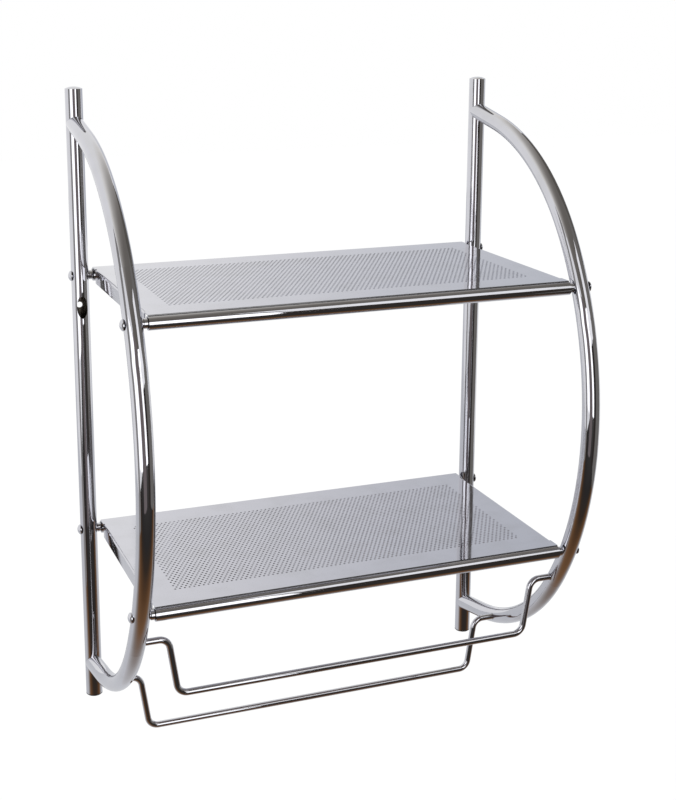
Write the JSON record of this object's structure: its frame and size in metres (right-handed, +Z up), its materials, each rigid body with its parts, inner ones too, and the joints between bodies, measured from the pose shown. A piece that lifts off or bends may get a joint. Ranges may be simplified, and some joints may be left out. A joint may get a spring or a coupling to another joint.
{
  "type": "towel rack",
  "caption": "Chrome wall rack of round tube: straight posts with bowed side tubes, perforated shelves on cross rails and swinging towel rails below.",
  "frame": {"origin": "on the wall, midway between the two wall-screw holes in the backs of the posts", "axes": "+X to the right as seen from the room, +Y into the wall, +Z up along the posts"},
  "size_m": [0.431, 0.252, 0.604],
  "materials": {
    "tube_chrome": "mirror-bright chrome plating on tube",
    "sheet_chrome": "bright chrome plating on rolled sheet, slightly wavy",
    "fitting_chrome": "bright chrome plating",
    "rod_chrome": "bright chrome plating on wire rod",
    "plug_plastic": "black moulded plastic"
  },
  "bodies": {
    "frame": {"left_bow": "tube_chrome", "left_post": "tube_chrome", "left_post_cap": "tube_chrome", "left_post_foot_plug": "plug_plastic", "lower_back_left_collar": "fitting_chrome", "lower_back_left_rail_plug": "plug_plastic", "lower_back_rail": "fitting_chrome", "lower_back_right_collar": "fitting_chrome", "lower_back_right_rail_plug": "plug_plastic", "lower_front_left_collar": "fitting_chrome", "lower_front_left_rail_plug": "plug_plastic", "lower_front_rail": "fitting_chrome", "lower_front_right_collar": "fitting_chrome", "lower_front_right_rail_plug": "plug_plastic", "lower_shelf_sheet": "sheet_chrome", "right_bow": "tube_chrome", "right_post": "tube_chrome", "right_post_cap": "tube_chrome", "right_post_foot_plug": "plug_plastic", "shelf_screws": "fitting_chrome", "upper_back_left_collar": "fitting_chrome", "upper_back_left_rail_plug": "plug_plastic", "upper_back_rail": "fitting_chrome", "upper_back_right_collar": "fitting_chrome", "upper_back_right_rail_plug": "plug_plastic", "upper_front_left_collar": "fitting_chrome", "upper_front_left_rail_plug": "plug_plastic", "upper_front_rail": "fitting_chrome", "upper_front_right_collar": "fitting_chrome", "upper_front_right_rail_plug": "plug_plastic", "upper_shelf_sheet": "sheet_chrome"},
    "front_towel_rail": {"front_towel_rail": "rod_chrome"},
    "back_towel_rail": {"back_towel_rail": "rod_chrome"}
  },
  "joints": [
    {"name": "front_towel_rail_swing", "type": "hinge", "parent": "frame", "child": "front_towel_rail", "pos_m": [0, -0.1978, -0.2545], "axis": [1, 0, 0], "range_deg": [-130, 130]},
    {"name": "back_towel_rail_swing", "type": "hinge", "parent": "frame", "child": "back_towel_rail", "pos_m": [0, -0.08831, -0.34397], "axis": [1, 0, 0], "continuous": true}
  ]
}
